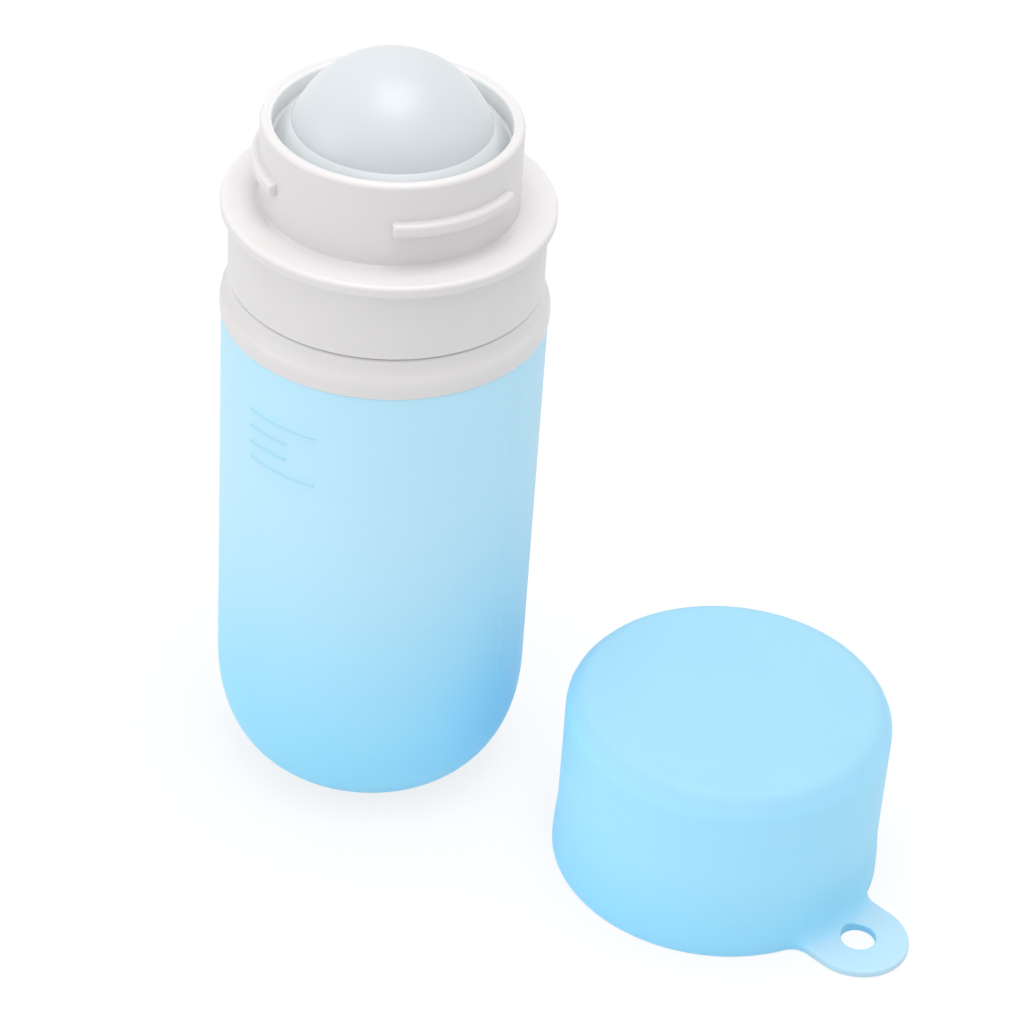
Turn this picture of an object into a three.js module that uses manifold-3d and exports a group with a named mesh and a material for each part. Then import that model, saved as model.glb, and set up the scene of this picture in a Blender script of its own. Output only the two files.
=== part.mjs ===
// Refillable roll-on bottle: a soft squeeze body, a screw-on roller head with a captive ball,
// and a soft cap with a hanging loop that stands beside the bottle.
// Millimetres, +Z up. The origin is the centre of the bottle's flat base.
import * as THREE from "three";
import { mergeVertices } from "three/addons/utils/BufferGeometryUtils.js";
import Module from "manifold-3d";

// Fits between pieces
const RUNNING_GAP = 0.2; // ball inside its seat
const FIT_GAP = 0.3; // round pieces that plug, snap or screw into each other
const FACE_GAP = 0.1; // flat faces that press on each other
const SEAM_GAP = 0.25; // the dark line between the head's skirt and the collar

// Roller ball and the translucent seat that traps it
const BALL_RADIUS = 12.7;
const SEAT_WALL = 1.05; // at the ball's equator
const SEAT_LIP_RISE = 4.35; // the lip closes over the ball this far above its centre
const SEAT_LIP_WIDTH = 0.25;
const SEAT_SHOULDER_HEIGHT = 2.65; // from the lip down to the neck's bore
const SEAT_SHOULDER_FULLNESS = 0.5; // 0 is a straight cone and 1 a full rounding
const SEAT_BARB = 0.25; // barb that snaps under the ledge
const SEAT_BARB_HEIGHT = 1.0;
const FEED_RADIUS = 6.4; // opening under the ball
const FEED_SLOTS = 6;
const FEED_SLOT_WIDTH = 1.6;
const FEED_SLOT_LENGTH = 2.0;

// Roller head
const NECK_WALL = 1.4;
const NECK_HEIGHT = 10.95; // flange top to rim
const BALL_SINK = 4.95; // ball centre below the rim
const RIM_ROUND = 0.6;
const LUG_COUNT = 3;
const LUG_SPAN_DEG = 61;
const LUG_CENTRE_DEG = -55.2; // the lug that faces the front right
const LUG_PROUD = 0.95;
const LUG_HEIGHT = 1.75;
const LUG_RISE = 5.2; // lug centre above the flange
const LUG_ROUND = 0.6;
const FLANGE_THICKNESS = 1.5;
const FLANGE_OVERHANG = 1.0;
const FLANGE_ROUND = 0.6;
const FLANGE_COVE = 0.8; // hollow rounding under the flange
const DECK_THICKNESS = 1.7;
const LEDGE_DEPTH = 1.2; // ledge inside the neck that carries the seat
const LEDGE_HEIGHT = 1.2;
const SKIRT_WALL = 1.3;
const SKIRT_LENGTH = 9.05;

// Neck insert, gasket and the collar that clamps the soft lip
const INSERT_BORE_STEP = 0.35; // insert's bore beyond the neck's bore
const INSERT_WALL = 2.2; // at the threaded part
const INSERT_TUBE_WALL = 1.3; // at the tube inside the soft lip
const INSERT_TUBE_LENGTH = 7.0;
const INSERT_LEAD_IN = 0.6;
const INSERT_FLANGE_THICKNESS = 1.1;
const THREAD_DEPTH = 0.8; // room for the thread between insert and skirt
const GASKET_THICKNESS = 0.8;
const COLLAR_HEIGHT = 4.9;
const COLLAR_TOP_WALL = 0.6;
const COLLAR_BULGE = 1.05; // the collar's belly beyond its top edge
const COLLAR_BELLY_HEIGHT = 1.1; // belly above the collar's lower edge
const COLLAR_TUCK = 0.3; // lower edge inside the belly

// Soft squeeze body
const BODY_HEIGHT = 67.1; // base to the shoulder under the collar
const BODY_TAPER = 0.1; // radius lost from the shoulder to the base rounding
const BODY_WALL = 1.6;
const BASE_WALL = 2.2;
const BASE_FLAT_RADIUS = 9.9;
const BASE_ROUND_HEIGHT = 14.0;
const SHOULDER_LEDGE = 2.35; // the step that carries the collar
const SHOULDER_ROUND = 0.5;
const LIP_WALL = 1.4;
const LIP_BEAD = 0.6;
const LIP_BEAD_HEIGHT = 1.6;
const THROAT_HEIGHT = 4.5; // the inside narrows to the lip over this height

// Cap and its rigid liner
const CAP_HEIGHT = 24.7;
const CAP_WALL = 1.6;
const CAP_TOP_WALL = 2.0;
const CAP_EDGE_ROUND = 3.0;
const CAP_INNER_ROUND = 1.3;
const CAP_FLARE = 0.35; // the mouth is this much wider than the top
const CAP_FLARE_HEIGHT = 6.0;
const CAP_FOOT_ROUND = 0.4;
const LINER_GAP = 0.5; // the neck's lugs inside the liner
const LINER_WALL = 1.5;
const LINER_TOP_WALL = 1.4;
const LINER_RECESS = 0.6; // liner's lower edge above the cap's mouth
const LINER_LUG_SPAN_DEG = 48;
const LINER_LUG_HEIGHT = 1.6;
const PRESS_RING_RADIUS = 6.0; // ring that holds the ball shut
const PRESS_RING_WALL = 1.2;
const CAP_STAND_OFF = 8.65; // free floor between the bottle and the cap
const CAP_DIRECTION_DEG = -21.7;

// Hanging loop on the cap
const LOOP_DIRECTION_DEG = -42.3;
const LOOP_THICKNESS = 1.0;
const LOOP_HOLE_RADIUS = 2.2;
const LOOP_HOLE_OFFSET = 3.5; // hole centre beyond the cap's mouth
const LOOP_RIM = 4.2; // material around the hole
const LOOP_FILLET = 2.6; // where the loop leaves the mouth

// Facets
const ROUND_FACETS = 48; // pieces that show
const INNER_FACETS = 40; // pieces inside, and the ball
const COARSE_ARC = 1; // an arc in an outline gets twice as many facets as its step number
const MEDIUM_ARC = 2;
const FINE_ARC = 4;

// Radii, worked out from the ball outwards
const seatInner = BALL_RADIUS + RUNNING_GAP;
const seatOuter = seatInner + SEAT_WALL;
const neckBore = seatOuter + FIT_GAP;
const neckOuter = neckBore + NECK_WALL;
const ledgeRadius = neckBore - LEDGE_DEPTH;
const lugRadius = neckOuter + LUG_PROUD;
const insertBore = neckBore + INSERT_BORE_STEP;
const insertOuter = insertBore + INSERT_WALL;
const insertTube = insertBore + INSERT_TUBE_WALL;
const gasketInner = insertBore + FIT_GAP;
const gasketOuter = insertOuter - INSERT_LEAD_IN;
const skirtInner = insertOuter + THREAD_DEPTH + FIT_GAP;
const skirtOuter = skirtInner + SKIRT_WALL;
const flangeRadius = skirtOuter + FLANGE_OVERHANG;
const lipInner = insertTube + FIT_GAP;
const lipOuter = lipInner + LIP_WALL;
const beadRadius = lipOuter + LIP_BEAD;
const collarBore = lipOuter + FIT_GAP;
const collarGroove = beadRadius + FIT_GAP;
const collarTop = collarGroove + COLLAR_TOP_WALL;
const collarBelly = collarTop + COLLAR_BULGE;
const insertFlange = collarGroove - FIT_GAP;
const bodyRadius = lipOuter + SHOULDER_LEDGE;
const bodyLower = bodyRadius - BODY_TAPER;
const linerInner = lugRadius + LINER_GAP;
const linerOuter = linerInner + LINER_WALL;
const capInner = linerOuter + FIT_GAP;
const capRadius = capInner + CAP_WALL;
const capMouth = capRadius + CAP_FLARE;

// Heights, worked out from the base upwards
const collarFoot = BODY_HEIGHT + FACE_GAP;
const collarHead = collarFoot + COLLAR_HEIGHT;
const insertFlangeTop = collarHead - FACE_GAP;
const insertFlangeFoot = insertFlangeTop - INSERT_FLANGE_THICKNESS;
const lipTop = insertFlangeFoot - FACE_GAP;
const lipBeadFoot = lipTop - LIP_BEAD_HEIGHT;
const skirtFoot = collarHead + SEAM_GAP;
const flangeFoot = skirtFoot + SKIRT_LENGTH;
const flangeTop = flangeFoot + FLANGE_THICKNESS;
const deckFoot = flangeTop - DECK_THICKNESS;
const ledgeTop = deckFoot + LEDGE_HEIGHT;
const gasketTop = deckFoot - FACE_GAP;
const gasketFoot = gasketTop - GASKET_THICKNESS;
const insertTop = gasketFoot - FACE_GAP;
const rimTop = flangeTop + NECK_HEIGHT;
const ballCentre = rimTop - BALL_SINK;
const lugCentre = flangeTop + LUG_RISE;

const wasm = await Module();
wasm.setup();

// Points of an outline in the (radius, height) half plane. draw adds lines and arcs to the path.
function outline(arcSteps, draw) {
  const path = new THREE.Path();
  draw(path);
  const tooNear = 1e-4;
  const points = path.getPoints(arcSteps);
  return points.filter((p, i) => i === 0 || p.distanceTo(points[i - 1]) > tooNear);
}

// A quarter ellipse from (x0, y0) to (x1, y1) that sets off along the radius.
function quarterAlong(path, x0, y0, x1, y1) {
  quarter(path, x0, y1, x0, y0, x1, y1);
}

// A quarter ellipse from (x0, y0) to (x1, y1) that sets off along the height.
function quarterUp(path, x0, y0, x1, y1) {
  quarter(path, x1, y0, x0, y0, x1, y1);
}

function quarter(path, centreX, centreY, x0, y0, x1, y1) {
  const start = Math.atan2(Math.sign(y0 - centreY), Math.sign(x0 - centreX));
  const end = Math.atan2(Math.sign(y1 - centreY), Math.sign(x1 - centreX));
  const clockwise = Math.sin(end - start) < 0;
  path.lineTo(x0, y0);
  path.absellipse(centreX, centreY, Math.abs(x1 - x0), Math.abs(y1 - y0), start, end, clockwise);
}

// Turns an outline that starts and ends on the Z axis.
function revolve(points, facets) {
  return new THREE.LatheGeometry(points, facets).rotateX(Math.PI / 2);
}

// Turns an outline that closes on itself.
function ring(points, facets) {
  return revolve([...points, points[0].clone()], facets);
}

function solid(geometry) {
  const bare = geometry.clone();
  bare.deleteAttribute("normal");
  bare.deleteAttribute("uv");
  const merged = mergeVertices(bare, 1e-4);
  return new wasm.Manifold(
    new wasm.Mesh({
      numProp: 3,
      vertProperties: merged.attributes.position.array,
      triVerts: new Uint32Array(merged.index.array),
    }),
  );
}

function geometryOf(manifold) {
  const mesh = manifold.getMesh();
  const geometry = new THREE.BufferGeometry();
  geometry.setAttribute("position", new THREE.BufferAttribute(mesh.vertProperties, 3));
  geometry.setIndex(new THREE.BufferAttribute(mesh.triVerts, 1));
  geometry.computeVertexNormals();
  return geometry;
}

// Equal lugs around the axis: pie slices cut out of one ring of the lug's section.
function lugs(section, spanDeg, foot, top) {
  const half = THREE.MathUtils.degToRad(spanDeg / 2);
  const slice = new THREE.Shape();
  slice.absarc(0, 0, linerOuter * 2, -half, half, false);
  slice.lineTo(0, 0);
  const wedge = new THREE.ExtrudeGeometry(slice, {
    depth: top - foot,
    bevelEnabled: false,
    curveSegments: 6,
  });
  wedge.translate(0, 0, foot);
  wedge.rotateZ(THREE.MathUtils.degToRad(LUG_CENTRE_DEG));
  const full = solid(ring(section, ROUND_FACETS));
  let kept = full.intersect(solid(wedge));
  for (let i = 1; i < LUG_COUNT; i++) {
    wedge.rotateZ((2 * Math.PI) / LUG_COUNT);
    kept = kept.add(full.intersect(solid(wedge)));
  }
  return kept;
}

// Soft squeeze body with a round bottom, open at the lip
function squeezeBody() {
  const innerLower = bodyLower - BODY_WALL;
  const innerUpper = bodyRadius - BODY_WALL;
  const throatTop = BODY_HEIGHT - BODY_WALL;
  const profile = outline(FINE_ARC, (p) => {
    p.moveTo(0, 0);
    p.lineTo(BASE_FLAT_RADIUS, 0);
    quarterAlong(p, BASE_FLAT_RADIUS, 0, bodyLower, BASE_ROUND_HEIGHT);
    p.lineTo(bodyRadius, BODY_HEIGHT - SHOULDER_ROUND);
    p.lineTo(bodyRadius - SHOULDER_ROUND, BODY_HEIGHT);
    p.lineTo(lipOuter, BODY_HEIGHT);
    p.lineTo(lipOuter, lipBeadFoot - LIP_BEAD);
    p.lineTo(beadRadius, lipBeadFoot);
    p.lineTo(beadRadius, lipTop);
    p.lineTo(lipInner, lipTop);
    p.lineTo(lipInner, throatTop);
    p.lineTo(innerUpper, throatTop - THROAT_HEIGHT);
    p.lineTo(innerLower, BASE_ROUND_HEIGHT);
    p.quadraticCurveTo(innerLower, BASE_WALL, BASE_FLAT_RADIUS, BASE_WALL);
    p.lineTo(0, BASE_WALL);
  });
  return revolve(profile, ROUND_FACETS);
}

// White collar that clamps the soft lip, flared from its top edge to a belly near its foot
function clampCollar() {
  const belly = collarFoot + COLLAR_BELLY_HEIGHT;
  const flareMiddle = (belly + collarHead) / 2;
  const grooveFoot = lipBeadFoot - LIP_BEAD - FACE_GAP;
  const profile = outline(FINE_ARC, (p) => {
    p.moveTo(collarBore, collarFoot);
    p.lineTo(collarBelly - COLLAR_TUCK, collarFoot);
    p.quadraticCurveTo(collarBelly, collarFoot + COLLAR_TUCK, collarBelly, belly);
    p.bezierCurveTo(collarBelly, flareMiddle, collarTop, flareMiddle, collarTop, collarHead);
    p.lineTo(collarGroove, collarHead);
    p.lineTo(collarGroove, grooveFoot + collarGroove - collarBore);
    p.lineTo(collarBore, grooveFoot);
  });
  return ring(profile, ROUND_FACETS);
}

// Rigid insert: a tube inside the soft lip, a flange on top of it and the neck that the head screws on
function neckInsert() {
  const tubeFoot = lipTop - INSERT_TUBE_LENGTH;
  const profile = outline(COARSE_ARC, (p) => {
    p.moveTo(insertBore, tubeFoot);
    p.lineTo(insertTube - INSERT_LEAD_IN, tubeFoot);
    p.lineTo(insertTube, tubeFoot + INSERT_LEAD_IN);
    p.lineTo(insertTube, insertFlangeFoot);
    p.lineTo(insertFlange, insertFlangeFoot);
    p.lineTo(insertFlange, insertFlangeTop);
    p.lineTo(insertOuter, insertFlangeTop);
    p.lineTo(insertOuter, insertTop - INSERT_LEAD_IN);
    p.lineTo(gasketOuter, insertTop);
    p.lineTo(insertBore, insertTop);
  });
  return ring(profile, INNER_FACETS);
}

// Soft flat seal between the insert's top and the head's deck
function neckGasket() {
  const profile = outline(COARSE_ARC, (p) => {
    p.moveTo(gasketInner, gasketFoot);
    p.lineTo(gasketOuter, gasketFoot);
    p.lineTo(gasketOuter, gasketTop);
    p.lineTo(gasketInner, gasketTop);
  });
  return ring(profile, INNER_FACETS);
}

// Roller head: screw skirt, flange, neck with lugs, and the ledge that carries the seat
function rollerHead() {
  const coveFoot = flangeFoot - FLANGE_COVE;
  const profile = outline(COARSE_ARC, (p) => {
    p.moveTo(skirtInner, skirtFoot);
    p.lineTo(skirtOuter, skirtFoot);
    p.lineTo(skirtOuter, coveFoot);
    quarterUp(p, skirtOuter, coveFoot, skirtOuter + FLANGE_COVE, flangeFoot);
    p.lineTo(flangeRadius, flangeFoot);
    p.lineTo(flangeRadius, flangeTop - FLANGE_ROUND);
    quarterUp(p, flangeRadius, flangeTop - FLANGE_ROUND, flangeRadius - FLANGE_ROUND, flangeTop);
    p.lineTo(neckOuter, flangeTop);
    p.lineTo(neckOuter, rimTop - RIM_ROUND);
    quarterUp(p, neckOuter, rimTop - RIM_ROUND, neckOuter - RIM_ROUND, rimTop);
    quarterAlong(p, neckBore + RIM_ROUND, rimTop, neckBore, rimTop - RIM_ROUND);
    p.lineTo(neckBore, ledgeTop);
    p.lineTo(ledgeRadius, ledgeTop);
    p.lineTo(ledgeRadius, deckFoot);
    p.lineTo(skirtInner, deckFoot);
  });
  const lugFoot = lugCentre - LUG_HEIGHT / 2;
  const lugTop = lugCentre + LUG_HEIGHT / 2;
  const lugRoot = neckOuter - NECK_WALL / 2;
  const section = outline(COARSE_ARC, (p) => {
    p.moveTo(lugRoot, lugFoot);
    quarterAlong(p, lugRadius - LUG_ROUND, lugFoot, lugRadius, lugFoot + LUG_ROUND);
    quarterUp(p, lugRadius, lugTop - LUG_ROUND, lugRadius - LUG_ROUND, lugTop);
    p.lineTo(lugRoot, lugTop);
  });
  const beads = lugs(section, LUG_SPAN_DEG, lugFoot - LUG_HEIGHT, lugTop + LUG_HEIGHT);
  return geometryOf(solid(ring(profile, ROUND_FACETS)).add(beads));
}

// Translucent seat: a cup whose lip closes over the ball, snapped over the head's ledge
function ballSeat() {
  const lip = ballCentre + SEAT_LIP_RISE;
  const lipEdge = Math.sqrt(seatInner ** 2 - SEAT_LIP_RISE ** 2) + SEAT_LIP_WIDTH;
  const sleeveFoot = ledgeTop + FACE_GAP;
  const shoulderFoot = lip - SEAT_SHOULDER_HEIGHT;
  const coneMiddle = new THREE.Vector2((seatOuter + lipEdge) / 2, (shoulderFoot + lip) / 2);
  const shoulderPull = coneMiddle.lerp(new THREE.Vector2(seatOuter, lip), SEAT_SHOULDER_FULLNESS);
  const waist = ledgeRadius - FIT_GAP;
  const barb = ledgeRadius + SEAT_BARB;
  const barbTop = deckFoot - FACE_GAP;
  const barbFoot = barbTop - SEAT_BARB_HEIGHT;
  const feedFoot = ballCentre - Math.sqrt(seatInner ** 2 - FEED_RADIUS ** 2);
  const lipAngle = Math.asin(SEAT_LIP_RISE / seatInner);
  const feedAngle = -Math.acos(FEED_RADIUS / seatInner);
  const profile = outline(FINE_ARC, (p) => {
    p.moveTo(FEED_RADIUS + SEAT_WALL, feedFoot);
    p.lineTo(barb - SEAT_BARB_HEIGHT, barbFoot - SEAT_BARB_HEIGHT);
    p.lineTo(barb, barbFoot);
    p.lineTo(barb, barbTop);
    p.lineTo(waist, barbTop);
    p.lineTo(waist, sleeveFoot);
    p.lineTo(seatOuter, sleeveFoot);
    p.lineTo(seatOuter, shoulderFoot);
    p.quadraticCurveTo(shoulderPull.x, shoulderPull.y, lipEdge, lip);
    p.absarc(0, ballCentre, seatInner, lipAngle, feedAngle, true);
  });
  let cup = solid(ring(profile, INNER_FACETS));
  for (let i = 0; i < FEED_SLOTS; i++) {
    const slot = new THREE.BoxGeometry(FEED_SLOT_LENGTH * 2, FEED_SLOT_WIDTH, BALL_RADIUS);
    slot.translate(FEED_RADIUS, 0, feedFoot);
    slot.rotateZ((i / FEED_SLOTS) * 2 * Math.PI);
    cup = cup.subtract(solid(slot));
  }
  return geometryOf(cup);
}

function rollerBall() {
  return new THREE.SphereGeometry(BALL_RADIUS, INNER_FACETS, INNER_FACETS / 2)
    .rotateX(Math.PI / 2)
    .translate(0, 0, ballCentre);
}

// Outline of the hanging loop, pointing along +X from the cap's axis
function loopShape() {
  const halfWidth = LOOP_HOLE_RADIUS + LOOP_RIM;
  const holeX = capMouth + LOOP_HOLE_OFFSET;
  const filletY = halfWidth + LOOP_FILLET;
  const filletX = Math.sqrt((capMouth + LOOP_FILLET) ** 2 - filletY ** 2);
  const rootAngle = Math.atan2(filletY, filletX);
  const rootRadius = capMouth - CAP_WALL / 2;
  const rootX = rootRadius * Math.cos(rootAngle);
  const rootY = rootRadius * Math.sin(rootAngle);
  const shape = new THREE.Shape();
  shape.absarc(filletX, -filletY, LOOP_FILLET, Math.PI - rootAngle, Math.PI / 2, true);
  shape.absarc(holeX, 0, halfWidth, -Math.PI / 2, Math.PI / 2, false);
  shape.absarc(filletX, filletY, LOOP_FILLET, -Math.PI / 2, rootAngle - Math.PI, true);
  shape.lineTo(rootX, rootY);
  shape.absarc(0, 0, rootRadius, rootAngle, -rootAngle, true);
  const hole = new THREE.Path();
  hole.absarc(holeX, 0, LOOP_HOLE_RADIUS, 0, 2 * Math.PI, true);
  shape.holes.push(hole);
  return shape;
}

// Soft cap shell with its loop, mouth down, about its own axis
function capShell() {
  const innerTop = CAP_HEIGHT - CAP_TOP_WALL;
  const edgeFoot = CAP_HEIGHT - CAP_EDGE_ROUND;
  const profile = outline(MEDIUM_ARC, (p) => {
    p.moveTo(0, innerTop);
    p.lineTo(capInner - CAP_INNER_ROUND, innerTop);
    p.lineTo(capInner, innerTop - CAP_INNER_ROUND);
    p.lineTo(capInner, 0);
    p.lineTo(capMouth - CAP_FOOT_ROUND, 0);
    p.lineTo(capMouth, CAP_FOOT_ROUND);
    p.lineTo(capMouth, LOOP_THICKNESS);
    p.quadraticCurveTo(capRadius, LOOP_THICKNESS * 2, capRadius, CAP_FLARE_HEIGHT);
    p.lineTo(capRadius, edgeFoot);
    quarterUp(p, capRadius, edgeFoot, capRadius - CAP_EDGE_ROUND, CAP_HEIGHT);
    p.lineTo(0, CAP_HEIGHT);
  });
  const loop = new THREE.ExtrudeGeometry(loopShape(), {
    depth: LOOP_THICKNESS,
    bevelEnabled: false,
    curveSegments: 6,
  });
  loop.rotateZ(THREE.MathUtils.degToRad(LOOP_DIRECTION_DEG));
  return geometryOf(solid(revolve(profile, ROUND_FACETS)).add(solid(loop)));
}

// Rigid liner inside the cap: locking lugs near the mouth and a ring that holds the ball shut
function capLiner() {
  const top = CAP_HEIGHT - CAP_TOP_WALL - FIT_GAP;
  const ceiling = top - LINER_TOP_WALL;
  const corner = CAP_INNER_ROUND + FIT_GAP;
  const ballTopAboveFlange = ballCentre + BALL_RADIUS - flangeTop;
  const ballDropAtRing = BALL_RADIUS - Math.sqrt(BALL_RADIUS ** 2 - PRESS_RING_RADIUS ** 2);
  const ringFoot = ballTopAboveFlange - ballDropAtRing;
  const ringInner = PRESS_RING_RADIUS - PRESS_RING_WALL / 2;
  const ringOuter = PRESS_RING_RADIUS + PRESS_RING_WALL / 2;
  const profile = outline(COARSE_ARC, (p) => {
    p.moveTo(0, ceiling);
    p.lineTo(ringInner, ceiling);
    p.lineTo(ringInner, ringFoot);
    p.lineTo(ringOuter, ringFoot);
    p.lineTo(ringOuter, ceiling);
    p.lineTo(linerInner, ceiling);
    p.lineTo(linerInner, LINER_RECESS);
    p.lineTo(linerOuter, LINER_RECESS);
    p.lineTo(linerOuter, top - corner);
    p.lineTo(linerOuter - corner, top);
    p.lineTo(0, top);
  });
  const lugTop = LUG_RISE - LUG_HEIGHT / 2 - FIT_GAP;
  const lugFoot = lugTop - LINER_LUG_HEIGHT;
  const lugRoot = linerInner + LINER_WALL / 2;
  const lugTip = neckOuter + FIT_GAP;
  const section = outline(COARSE_ARC, (p) => {
    p.moveTo(lugTip, lugFoot + LINER_GAP);
    p.lineTo(linerInner, lugFoot);
    p.lineTo(lugRoot, lugFoot);
    p.lineTo(lugRoot, lugTop);
    p.lineTo(lugTip, lugTop);
  });
  const inward = lugs(section, LINER_LUG_SPAN_DEG, lugFoot - LINER_LUG_HEIGHT, lugTop + LINER_LUG_HEIGHT);
  return geometryOf(solid(revolve(profile, INNER_FACETS)).add(inward));
}

// Materials
function material(colour, roughness) {
  return new THREE.MeshStandardMaterial({ color: colour, roughness, metalness: 0 });
}
const blueSilicone = material(0x9fdcf8, 0.5);
const whitePlastic = material(0xf0eeee, 0.35);
const frostedPlastic = material(0xdde5e9, 0.3);
const clearPlastic = material(0xe3eaee, 0.3);
const sealRubber = material(0xe8e8e6, 0.6);

function piece(name, geometry, finish) {
  const mesh = new THREE.Mesh(geometry, finish);
  mesh.name = name;
  return mesh;
}

// Assembly: the bottle, the head that screws onto it, and the cap on the floor beside them
const bottle = new THREE.Group();
bottle.add(
  piece("squeeze_body", squeezeBody(), blueSilicone),
  piece("clamp_collar", clampCollar(), whitePlastic),
  piece("neck_insert", neckInsert(), whitePlastic),
  piece("neck_gasket", neckGasket(), sealRubber),
);

const head = new THREE.Group();
head.add(
  piece("roller_head", rollerHead(), whitePlastic),
  piece("ball_seat", ballSeat(), clearPlastic),
  piece("roller_ball", rollerBall(), frostedPlastic),
);

const cap = new THREE.Group();
cap.add(
  piece("cap_shell", capShell(), blueSilicone),
  piece("cap_liner", capLiner(), whitePlastic),
);
const capDistance = collarBelly + CAP_STAND_OFF + capMouth;
const capDirection = THREE.MathUtils.degToRad(CAP_DIRECTION_DEG);
cap.position.set(capDistance * Math.cos(capDirection), capDistance * Math.sin(capDirection), 0);

const rollOnBottle = new THREE.Group();
rollOnBottle.name = "roll_on_bottle";
rollOnBottle.add(bottle, head, cap);

export default rollOnBottle;
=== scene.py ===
# Looks of the roll-on bottle: fine surfaces, materials, studio light and the camera.
# Sizes are in millimetres and come from the frame's boxes where the frame holds them.
import math
from collections import namedtuple

import bmesh
import bpy
from mathutils import Matrix, Vector


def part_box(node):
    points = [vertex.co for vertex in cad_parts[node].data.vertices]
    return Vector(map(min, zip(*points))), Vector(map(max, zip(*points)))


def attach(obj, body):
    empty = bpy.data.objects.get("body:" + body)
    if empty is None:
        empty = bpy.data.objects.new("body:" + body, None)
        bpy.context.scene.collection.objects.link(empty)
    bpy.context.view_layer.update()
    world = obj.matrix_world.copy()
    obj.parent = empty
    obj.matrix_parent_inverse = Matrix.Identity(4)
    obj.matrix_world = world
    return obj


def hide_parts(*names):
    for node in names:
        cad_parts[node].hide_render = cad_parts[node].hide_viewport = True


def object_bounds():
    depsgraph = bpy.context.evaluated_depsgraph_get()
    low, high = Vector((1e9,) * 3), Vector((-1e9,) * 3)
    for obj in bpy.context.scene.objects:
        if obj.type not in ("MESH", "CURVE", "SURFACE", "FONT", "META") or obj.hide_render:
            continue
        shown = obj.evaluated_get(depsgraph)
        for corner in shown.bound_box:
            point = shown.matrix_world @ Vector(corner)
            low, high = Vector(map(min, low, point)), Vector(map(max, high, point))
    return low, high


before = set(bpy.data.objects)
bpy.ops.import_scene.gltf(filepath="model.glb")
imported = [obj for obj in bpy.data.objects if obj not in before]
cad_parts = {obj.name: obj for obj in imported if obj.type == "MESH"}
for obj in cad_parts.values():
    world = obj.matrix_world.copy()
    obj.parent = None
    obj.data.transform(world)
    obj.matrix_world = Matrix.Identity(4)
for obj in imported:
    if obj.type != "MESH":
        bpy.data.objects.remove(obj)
cad_low, cad_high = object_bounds()

MM = 0.001

# Camera, found by fitting one perspective camera to the outlines of the bottle and the cap
CAMERA_LENS = 127.7
CAMERA_SENSOR = 36.0
CAMERA_TARGET = Vector((17.214, 0, 37.434))
CAMERA_DISTANCE = 460.56
CAMERA_ELEVATION = math.radians(36.447)
CAMERA_ROLL = math.radians(4.042)
CAMERA_CLIP = 10.0

# Light: an even level from all round, and softboxes as (name, direction from the object, watts)
AMBIENT = 0.74
SOFTBOXES = (
    ("overhead_softbox", (0, 0, 1), 2.6),
    ("front_softbox", (0, -0.45, 0.9), 0.42),
    ("left_softbox", (-1, -0.3, 0.25), 0.8),
)
SOFTBOX_SIZE = 450.0
SOFTBOX_DISTANCE = 700.0

# Floor: its paint, its reach, how far it lies under the base, and how white it looks in itself
FLOOR_PAINT = (0.9, 0.9, 0.9, 1)
FLOOR_REACH = 1500.0
FLOOR_DROP = 0.02
FLOOR_WHITENESS = 0.8

# Facets. Lists named CUTS are the places at which a relief gets extra vertices: arc lengths from a
# parting line or a lug's end, and shares of the half width for ticks and feed slots
TURN_STEP = math.radians(1.5)
CORNER_STEPS = 6
CURVE_STEPS = 24
BALL_CUTS = 47
MERGE_DISTANCE = 1e-7
SHARP_ANGLE = math.radians(50)

# Squeeze body
BODY_TAPER = 0.1
BODY_WALL = 1.6
BASE_WALL = 2.2
BASE_FLAT = 9.3
BASE_ROUND = 15.2
BASE_POWER = 2.25
BOWL_DROP = 1.0
SHOULDER_ROUND = 0.14
LIP_OUTER = 17.6
LIP_INNER = 16.2
LIP_BEAD = 0.6
LIP_BEAD_HEIGHT = 1.6
LIP_ROUND = 0.3
LIP_TOP_ROUND = 0.4
THROAT_HEIGHT = 4.5
THROAT_ROUND = 1.0
THROAT_FOOT_ROUND = 2.0
WALL_STEP = 2.0
PARTING_LINE = math.radians(-33)
PARTING_HALF_WIDTH = 0.16
PARTING_RISE = 0.1
PARTING_CUTS = (-0.2, -0.14, -0.1, -0.05, 0, 0.05, 0.1, 0.14, 0.2)
TICK_LEFT = math.radians(-138)
TICK_LENGTHS = (9.6, 5.6, 5.6, 9.6)
TICK_TOP = 60.0
TICK_SPACING = 2.3
TICK_HALF_WIDTH = 0.32
TICK_EDGE = 0.16
TICK_RISE = 0.2
TICK_CUTS = (1.2, 1, 0.85, 0.7, 0.55, 0.25)
TICK_END_CUTS = (1.2, 1, 0.85, 0.7, 0.5, 0.25)
# Name of the mesh attribute that says where the ticks get their painted shade
TICK_SHADE_MARK = "tick"

# Collar
COLLAR_BORE = 17.9
COLLAR_GROOVE = 18.5
COLLAR_TOP_RADIUS = 19.1
COLLAR_TUCK = 0.12
COLLAR_BELLY_HEIGHT = 1.1
COLLAR_BEND = 1.15
COLLAR_EDGE_ROUND = 0.38
COLLAR_EDGE_LENGTH = 0.4
COLLAR_FOOT_GAP = 0.01
COLLAR_INNER_ROUND = 0.2
GROOVE_FOOT = 68.4

# Neck insert and gasket
INSERT_BORE = 14.6
INSERT_TUBE = 15.9
INSERT_THREAD_ROOT = 16.8
INSERT_FLANGE_FOOT = 70.9
INSERT_FLANGE_TOP = 72.0
INSERT_LEAD_IN = 0.6
INSERT_LEAD_IN_ROUND = 0.3
INSERT_TIP_ROUND = 0.15
INSERT_ROUND = 0.2
INSERT_ROOT_ROUND = 0.25
INSERT_TOP_ROUND = 0.5
INSERT_MOUTH_ROUND = 0.3
GASKET_STEP = 0.3
GASKET_ROUND = 0.25

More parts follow.
